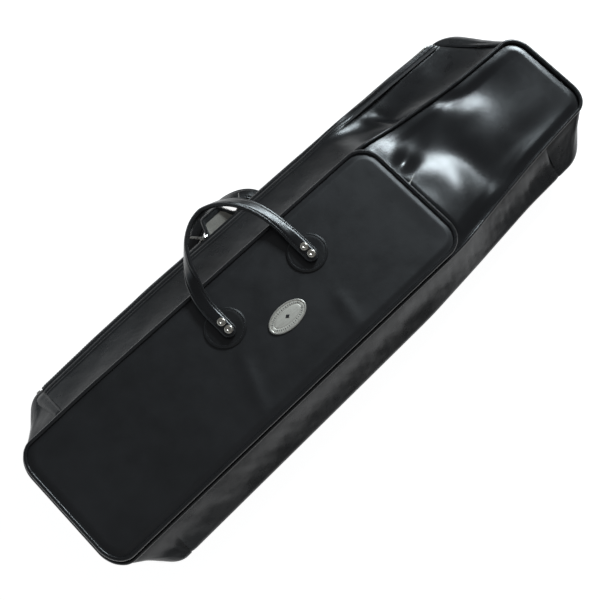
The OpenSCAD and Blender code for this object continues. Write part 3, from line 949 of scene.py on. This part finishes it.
# back panel with its soft pad, left out where the rear handle is sewn on
NOTCH = ((-196, 44), 22)
back_grid = panel_rows(BACK, 3.6)
bx, by = back_grid[:, :, 0], back_grid[:, :, 1]
back_edge = edge_distance(back_grid)
panel_z = box("back_panel")[0][2]
in_notch = (ease((bx - NOTCH[0][0] + 9) / 18) * ease((NOTCH[0][1] + 9 - bx) / 18)
            * ease((by - NOTCH[1] + 9) / 18))
pad = ease((back_edge - 9) / 20) * (1 - in_notch)
quilt = 0.6 * bell((bx + 110) % 220 - 110, 3.0) * ease((back_edge - 22) / 10)
back_cover = panel_solid("back_cover_leather",
                         at_height(back_grid, panel_z * (1 - pad) + quilt * pad + 0.02),
                         at_height(back_grid, panel_z + 2.4), LEATHER)
sew(back_cover, "back_panel", "back_pad")

back_lining_grid = panel_rows(BACK, 7.5, columns=41)
sew(panel_solid("back_lining_cloth", back_lining_grid + np.array([0, 0, 3.0]),
                back_lining_grid + np.array([0, 0, 2.2]), LINING), "lining_back")


# ---------------------------------------------------------------- piping
PIPING_R = 2.5
LID_Z = POCKET_TOP - 2.4


def piping(name, level, inset, dz, node, seed):
    us = stations(0, COUNT)[:-1]
    path = ring(level, us, inset, dz)
    run = us * STEP_X
    radius = PIPING_R + 0.12 * ripple(run, 0 * run, 34, seed)
    path[:, 2] += 0.25 * ripple(run, 0 * run, 130, seed + 1)
    sew(tube(name, path, radius, PIPING, closed=True, sides=14), node)


piping("front_piping_cord", FRONT, 1.5, PIPING_R + 0.1, "front_piping", 81)
piping("back_piping_cord", BACK, 1.5, -PIPING_R - 0.1, "back_piping", 83)
piping("pocket_piping_cord", POCKET, 0.0, LID_Z + 1.2, "pocket_piping", 85)


# ---------------------------------------------------------------- pocket wall and zip
WALL_LOW = box("pocket_gusset")[0][2]
WALL_HIGH = box("pocket_gusset")[1][2]
ZIP_Z = (box("pocket_zip_coils")[0][2] + box("pocket_zip_coils")[1][2]) / 2
TAPE_HALF = 66.0
wall_us = stations(0, COUNT)[:-1]
wall_heights = np.array([WALL_LOW, WALL_LOW + 1.2, WALL_LOW + 2.6, ZIP_Z - 3.3, ZIP_Z - 2.9,
                         ZIP_Z, ZIP_Z + 2.9, ZIP_Z + 3.3, WALL_HIGH - 1.2, WALL_HIGH])[::-1]
wall_grid = np.stack([ring(POCKET, wall_us, 0.0, z) for z in wall_heights], 1)
bulge = 0.7 * np.sin(np.pi * (wall_heights - WALL_LOW) / (WALL_HIGH - WALL_LOW))
wall_run = (wall_us * STEP_X)[:, None] + 0 * wall_grid[:, :, 0]
wall_grid = pushed(wall_grid, bulge[None, :] + 0.15 * ripple(wall_run, wall_grid[:, :, 2], 60, 91),
                   closed=True)
end_x = POCKET.end_x[1]
keep = np.ones((len(wall_us), len(wall_heights) - 1), bool)
for i in range(len(wall_us)):
    x, y = wall_grid[i, 0, 0], wall_grid[i, 0, 1]
    if x > end_x - 8 and abs(y) < TAPE_HALF - 2:
        keep[i, 4:6] = False
sew(shell("pocket_wall_leather", wall_grid, 2.0, LEATHER, closed=True, keep=keep),
    "pocket_gusset")

tape_y = np.linspace(-TAPE_HALF + 0.3, TAPE_HALF - 0.3, 60)
for i, (side, tape_nodes, coil_nodes) in enumerate((
        (1, ["pocket_zip_tapes"], ["pocket_zip_coils"]), (-1, [], []))):
    z0, z1 = ZIP_Z + side * 1.3, ZIP_Z + side * 5.0
    tape = np.stack([np.stack([np.full_like(tape_y, end_x - 2.6), tape_y[::-1],
                               np.full_like(tape_y, z)], 1)
                     for z in np.linspace(max(z0, z1), min(z0, z1), 5)], 1)
    sew(shell(f"pocket_zip_tape_{i}", tape, 0.6, TAPE), *tape_nodes)
    line = np.stack([np.full(60, end_x - 1.5), np.linspace(-60, 60, 60),
                     np.full(60, ZIP_Z + side * 1.15)], 1)
    sew(teeth_along(f"pocket_zip_teeth_{i}", line, 1.7, bead(1.15, 2.2, 2.0)), *coil_nodes)


# ---------------------------------------------------------------- handles
FLEX_FRONT = pivot("front_handle_swing")
FLEX_REAR = pivot("rear_handle_swing")
STRAP_W, STRAP_T, END_T = 18.0, 6.2, 7.0
LEG = 66.5
END_Y = -36.0


# how far the strap has turned on edge, in degrees, against the share of the way from leg to top
EARLY = ((0, 0.15, 0.27, 0.42, 0.6, 1), (0, 8, 20, 65, 88, 90))
LATE = ((0, 0.1, 0.27, 0.5, 0.8, 1), (0, 15, 21, 28, 60, 90))
EVEN = ((0.2, 0.4, 0.8, 1), (0, 10, 40, 60))
FLAT = ((0.5, 0.8, 1), (0, 15, 60))


def arch_point(t, reach, lean, rise, fullness):
    """Point of a strap's arch; a small fullness makes the arch squarer."""
    out = math.sin(math.radians(t)) ** fullness
    return np.array([-LEG * math.cos(math.radians(t)) + lean * float(ease(out)), reach * out,
                     rise * float(ease(out))])


def strap_path(reach, lean, rise, fullness, turning):
    """Centres, widthways and thickness directions, half widths and half thicknesses."""
    centres, turns, half_w, half_t = [], [], [], []
    legs = np.concatenate([END_Y + np.array([0.05, 0.35, 1.0, 2.0, 3.5, 5.0, 7.0, 9.0]),
                           np.linspace(END_Y + 11, -1.5, 12)])
    for side in (-1, 1):
        part = []
        for y in legs:
            tip = min(y - END_Y, STRAP_W / 2)
            w = math.sqrt(max((STRAP_W / 2) ** 2 - (STRAP_W / 2 - tip) ** 2, 0.05))
            squeeze = ease((y + 12) / 10)
            part.append((np.array([side * LEG, y, 0]), 0.0, w,
                         END_T / 2 * (1 - squeeze) + STRAP_T / 2 * squeeze))
        if side == 1:
            for i in range(1, 100):
                share = (min(i, 100 - i) / 50) ** 1.6
                t = 90 * share if i <= 50 else 180 - 90 * share
                turn = float(np.interp(share, *turning[0 if t < 90 else 1]))
                centres.append(arch_point(t, reach, lean, rise, fullness))
                turns.append(turn)
                half_w.append(STRAP_W / 2)
                half_t.append(STRAP_T / 2)
            part = part[::-1]
        for centre, turn, w, h in part:
            centres.append(centre)
            turns.append(turn)
            half_w.append(w)
            half_t.append(h)
    centres = np.array(centres)
    _, side, up = frames_of(centres)
    a = np.radians(turns)[:, None]
    wide = np.cos(a) * side + np.sin(a) * up
    thick = np.cos(a) * up - np.sin(a) * side
    return centres, wide, thick, np.array(half_w), np.array(half_t)


GROOVE = 0.70
SECTION = np.array([-1, -0.97, -0.9, -0.8, GROOVE * -1, -0.6, -0.45, -0.25, 0,
                    0.25, 0.45, 0.6, GROOVE, 0.8, 0.9, 0.97, 1])


def strap_height(q):
    """Height of the strap's crowned face, as a share of half its thickness."""
    return 0.98 - 0.30 * np.abs(q) ** 3 - 0.24 * bell(np.abs(q) - GROOVE, 0.07) \
        - 0.34 * ease((np.abs(q) - 0.86) / 0.14)


def make_strap(name, flex, shape, nodes, seed):
    centres, wide, thick, half_w, half_t = strap_path(*shape)
    upper = [(q, strap_height(q)) for q in SECTION]
    lower = [(q, -strap_height(q)) for q in SECTION[::-1]]
    profile = np.array(upper + lower)
    run = np.arange(len(centres)) * 3.2
    rows = np.zeros((len(centres), len(profile), 3))
    for j, (q, h) in enumerate(profile):
        wave = 0.10 * ripple(run, 0 * run + q * 9, 22, seed) * (1 - abs(q)) if h > 0 else 0
        rows[:, j] = (centres + wide * (q * half_w)[:, None]
                      + thick * (h * half_t + wave)[:, None])
    points, faces = loft(rows)
    strap = add_mesh(name, points + flex, faces, STRAP_LEATHER)
    parts = [strap]
    inner = slice(7, len(centres) - 7)
    for k, q in enumerate((-GROOVE, GROOVE)):
        for m, face in enumerate((1, -1)):
            line = (centres + wide * (q * half_w)[:, None]
                    + thick * (face * strap_height(q) * half_t)[:, None])[inner] + flex
            parts.append(stitches(f"{name}_stitches_{k}{m}", line, (thick * face)[inner],
                                  pitch=3.3, length=2.5, width=0.7))
    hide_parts(*nodes)
    for part in parts:
        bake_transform(part)


make_strap("front_handle_strap", FLEX_FRONT, (98, 6, 9, 1.0, (EARLY, LATE)),
           ["front_handle", "front_strap_ends"], 101)
make_strap("rear_handle_strap", FLEX_REAR, (105, 26, 6, 0.45, (FLAT, EVEN)),
           ["rear_handle", "rear_strap_ends"], 103)


# oval patches under the strap ends, with a sewn groove near their edge
PATCH_OVAL = 1.06
PATCH_SEAM = 20.8


def make_patch(name, foot, up, node):
    """Patch that lies with its flat side at foot; up is -1 on the back of the case."""
    rings = np.array([0, 3, 6, 9, 12, 15, 17.5, 19.2, 20.2, 20.8, 21.4, 22.2, 23.0, 23.6, 23.95,
                      24])
    angle = np.arange(72) / 72 * 2 * math.pi
    top = 2.0 - 0.22 * bell(rings - PATCH_SEAM, 0.8) - 1.1 * ease((rings - 22.6) / 1.4)
    top += 0.05 * bell(rings - 19.0, 1.2) + 0.05 * bell(rings - 22.3, 0.6)
    rows = []
    for r, h in zip(rings[1:], top[1:]):
        rows.append(np.stack([PATCH_OVAL * r * np.cos(angle), r * np.sin(angle),
                              np.full(72, h)], 1))
    rows.append(rows[-1] * np.array([1, 1, 0]))
    rows.append(rows[1] * np.array([1, 1, 0]))
    points, faces = loft(np.array(rows)[::-1])
    points = points * np.array([1, 1, up]) + foot
    sew(add_mesh(name, points, faces, PATCH_LEATHER), node)
    line = np.stack([PATCH_OVAL * PATCH_SEAM * np.cos(angle), PATCH_SEAM * np.sin(angle),
                     np.full(72, 1.8 * up)], 1)
    stitches(name + "_stitches", line + foot, np.tile([0.0, 0.0, up], (72, 1)), "case",
             pitch=3.1, length=2.2, width=0.6, closed=True)


for place in ("near", "far"):
    for side, up in (("front", 1), ("rear", -1)):
        node = f"{side}_patch_{place}"
        low, high = box(node)
        foot = np.array([*((low + high)[:2] / 2), low[2] if up > 0 else high[2]])
        make_patch(f"{node}_leather", foot, up, node)

# rivets: a low dome with a dimple, its shank and the burr inside
RIVET_PITCH = 12.0
FIRST_RIVET_Y = -15.0


def rivet_profile(head_z, burr_z, up):
    head = [(0, 1.35), (1.0, 1.38), (1.7, 1.62), (2.3, 1.95), (3.1, 2.0), (4.0, 1.75), (4.8, 1.2),
            (5.2, 0.6), (5.25, 0.15), (5.0, 0.0), (2.0, 0.0)]
    burr = [(2.0, 0.0), (4.2, 0.0), (4.75, -0.3), (4.6, -0.85), (3.6, -1.0), (0, -1.0)]
    profile = [(r, head_z + up * h) for r, h in head]
    return profile + [(r, burr_z + up * h) for r, h in burr]


def make_rivets(name, node, flex, head_z, burr_z, up):
    base = flex * np.array([1, 1, 0])
    places = [base + np.array([side * LEG, FIRST_RIVET_Y - k * RIVET_PITCH, 0])
              for side in (-1, 1) for k in (0, 1)]
    axes = np.tile(np.eye(3), (4, 1, 1))
    template = lathe(rivet_profile(head_z, burr_z, up), 40)
    sew(scatter(name, template, places, axes, RIVET_METAL), node)


make_rivets("front_rivets_nickel", "front_rivets", FLEX_FRONT, FLEX_FRONT[2] + 3.5, LID_Z, 1)
make_rivets("rear_rivets_nickel", "rear_rivets", FLEX_REAR, FLEX_REAR[2] - 3.5,
            box("rear_rivets")[1][2] - 1, -1)


# ---------------------------------------------------------------- badge
badge_low, badge_high = box("badge_rim")
BADGE_AT = np.array([*((badge_low + badge_high)[:2] / 2), badge_low[2]])
BADGE_L, BADGE_W = (badge_high - badge_low)[:2]
# each step is how far inside the rim, and how high
PLATE_STEPS = [(2.2, 0), (2.2, 1.05), (2.6, 1.2), (6.6, 1.25), (6.9, 1.05), (7.2, 1.25),
               (9.0, 1.35), (12.0, 1.45)]
RIM_STEPS = [(2.4, 0), (2.3, 1.5), (1.9, 2.0), (1.3, 2.2), (0.7, 2.0), (0.2, 1.5), (0, 0.9), (0, 0)]
angle = np.arange(96) / 96 * 2 * math.pi


def oval(inside, high):
    return np.stack([(BADGE_L / 2 - inside) * np.cos(angle), (BADGE_W / 2 - inside) * np.sin(angle),
                     np.full(96, high)], 1) + BADGE_AT


points, faces = loft(np.array([oval(*step) for step in PLATE_STEPS]))
sew(add_mesh("badge_plate_brushed", points, faces, BADGE_METAL, sharp=50),
    "badge_plate")
points, faces = loft(np.stack([oval(*step) for step in RIM_STEPS], 1), closed=True)
sew(add_mesh("badge_rim_polished", points, faces, BADGE_RIM), "badge_rim")
ticks, tick_axes, tick_scale = [], [], []
for i in range(44):
    a = i / 44 * 2 * math.pi
    if abs(math.sin(a)) < 0.16:
        continue
    ticks.append(BADGE_AT + np.array([(BADGE_L / 2 - 4.8) * math.cos(a),
                                      (BADGE_W / 2 - 4.8) * math.sin(a), 1.25]))
    out = np.array([math.cos(a) / BADGE_L, math.sin(a) / BADGE_W, 0])
    out /= np.linalg.norm(out)
    tick_axes.append(np.stack([out, np.cross([0, 0, 1], out), [0, 0, 1]]))
    tick_scale.append(np.array([1.0 if i % 2 else 0.55, 1, 1]))
sew(scatter("badge_ornament", bead(2.9, 0.75, 0.3), ticks, tick_axes, BADGE_DARK,
            tick_scale))
diamond = [(0, 0.55), (1.6, 0.5), (2.6, 0.25), (2.7, 0), (0, 0)]
sew(scatter("badge_boss", lathe(diamond, 4), [BADGE_AT + np.array([0, 0, 1.3])],
            [np.eye(3) * np.array([1.35, 0.9, 1])[:, None]], BADGE_DARK))


# ---------------------------------------------------------------- inside
CHANNEL = 26
divider_low, divider_high = box("cue_divider")
divider_grid = panel_rows(WAIST, 15.0, columns=61)
divider_grid[:, :, 1] = np.minimum(divider_grid[:, :, 1], 95.0)
dx, dy = divider_grid[:, :, 0], divider_grid[:, :, 1]
divider_edge = edge_distance(divider_grid)
channels = bell((dy + 130) % CHANNEL - CHANNEL / 2, 1.6)
soft = 1.4 * ease(divider_edge / 8) - 0.9 * channels * ease(divider_edge / 10)
divider_mid = (divider_low[2] + divider_high[2]) / 2
divider = panel_solid("cue_divider_cloth",
                      at_height(divider_grid, divider_mid + 0.25 + soft * 0.85),
                      at_height(divider_grid, divider_mid - 0.25 - soft * 0.85), DIVIDER)
sew(divider, "cue_divider")

for place in ("near", "far"):
    node = f"cue_loop_{place}"
    low, high = box(node)
    radius, thick = 14.0, 1.5
    height, half = high[2] - low[2], (high[1] - low[1]) / 2
    middle_y = (high[1] + low[1]) / 2
    path = [(-half, 0)]
    path += [(-half + radius * (1 - math.cos(a)), height - radius + radius * math.sin(a))
             for a in np.linspace(0, math.pi / 2, 9)]
    path += [(-y, z) for y, z in path[::-1]]
    path = np.array(path)
    dense, _, _ = resample(np.stack([0 * path[:, 0], path[:, 0], path[:, 1]], 1), 2.0)
    xs = np.linspace(low[0], high[0], 14)
    loop = np.stack([dense + np.array([x, middle_y, low[2] + 0.2]) for x in xs], 1)
    rib = 0.3 * np.cos((xs - xs[0]) / (xs[-1] - xs[0]) * 2 * math.pi * 6)
    loop = pushed(loop[:, ::-1], -0.4 + rib[None, :] * 0.5)
    piece = shell(node + "_webbing", loop, thick, WEBBING)
    sew(piece, node)


# ---------------------------------------------------------------- metal fittings kept from the CAD
def dress(node, material, bevel):
    """A CAD node that keeps its shape gets its finish and softened edges."""
    obj = frame["nodes"][node]
    obj.data.materials.clear()
    obj.data.materials.append(material)
    if bevel:
        edges = obj.modifiers.new("soft_edges", "BEVEL")
        edges.width = bevel * MM
        edges.segments = 2
        edges.limit_method = "ANGLE"
        edges.angle_limit = math.radians(40)
        edges.harden_normals = False


for node in ("slider_near", "slider_far", "pocket_slider", "pull_near", "pull_far", "pocket_pull",
             "main_zip_stops", "pocket_zip_stops"):
    dress(node, ZIP_METAL, 0.22)
for node in ("front_board", "back_board"):
    dress(node, BOARD, 0)


# ---------------------------------------------------------------- camera, floor and light
TARGET = Vector((-0.044, 0.005, 0.050))
AZIMUTH, ELEVATION, ROLL = math.radians(-54.11), math.radians(73.03), math.radians(10.0)
DISTANCE = 1.163
back = Vector((math.sin(AZIMUTH) * math.cos(ELEVATION), -math.cos(AZIMUTH) * math.cos(ELEVATION),
               math.sin(ELEVATION)))
level_right = Vector((0, 0, 1)).cross(back).normalized()
level_up = back.cross(level_right)
right = level_right * math.cos(ROLL) + level_up * math.sin(ROLL)
up = level_up * math.cos(ROLL) - level_right * math.sin(ROLL)
camera_data = bpy.data.cameras.new("camera")
camera_data.sensor_width = 36
camera_data.lens = 57
camera = bpy.data.objects.new("camera", camera_data)
camera.matrix_world = Matrix.Translation(TARGET + back * DISTANCE) @ Matrix(
    (right, up, back)).transposed().to_4x4()
bpy.context.scene.collection.objects.link(camera)
bpy.context.scene.camera = camera


def floor():
    size = 6.0
    n = 24
    line = np.linspace(-size, size, n) / MM
    points = [(x, y, -0.05) for x in line for y in line]
    faces = [(i * n + j, (i + 1) * n + j, (i + 1) * n + j + 1, i * n + j + 1)
             for i in range(n - 1) for j in range(n - 1)]
    material, _, shader, _ = nodes_of("pale_floor")
    shader.inputs["Base Color"].default_value = (0.45, 0.45, 0.45, 1)
    shader.inputs["Roughness"].default_value = 0.9
    shader.inputs["Specular IOR Level"].default_value = 0.1
    shader.inputs["Emission Color"].default_value = (1, 1, 1, 1)
    shader.inputs["Emission Strength"].default_value = 0.93
    add_mesh("floor", points, faces, material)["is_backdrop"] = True


floor()
world = bpy.data.worlds.new("studio")
bpy.context.scene.world = world
world.use_nodes = True
tree = world.node_tree
background = tree.nodes["Background"]
sky = tree.nodes.new("ShaderNodeTexCoord")
split = tree.nodes.new("ShaderNodeSeparateXYZ")
# a dark dome with a pale horizon towards -X, where a bright room lies
tree.links.new(sky.outputs["Generated"], split.inputs["Vector"])
height = ramp(tree, split.outputs["Z"], 0.05, 0.60, 0, 1)
side_light = combine(tree, "ADD", combine(tree, "MULTIPLY", split.outputs["Y"], 0.1),
                     combine(tree, "MULTIPLY", split.outputs["X"], -0.8))
horizon = tint(tree, ramp(tree, side_light, -0.3, 0.8, 0, 1), (0.13, 0.13, 0.125),
               (0.62, 0.72, 0.78))
dome = blend_to(tree, height, horizon, (0.14, 0.145, 0.15))
tree.links.new(dome, background.inputs["Color"])
background.inputs["Strength"].default_value = 1.0


def softbox(name, direction, distance, width, height, power, colour):
    light = bpy.data.lights.new(name, "AREA")
    light.shape = "RECTANGLE"
    light.size, light.size_y = width, height
    light.energy = power
    light.color = colour
    obj = bpy.data.objects.new(name, light)
    towards = Vector(direction).normalized()
    aim = Vector((0.1, 0, 0.08))
    obj.location = aim + towards * distance
    obj.rotation_mode = "QUATERNION"
    obj.rotation_quaternion = towards.to_track_quat("Z", "Y")
    bpy.context.scene.collection.objects.link(obj)


softbox("window", (0.783, 0.311, 0.537), 2.4, 0.58, 0.58, 40, (0.83, 0.94, 1.0))
softbox("fill", (-0.5, -0.9, 1.0), 3.0, 2.4, 1.6, 2.5, (1.0, 0.99, 0.97))
bpy.context.scene.view_settings.view_transform = "Standard"

low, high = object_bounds()
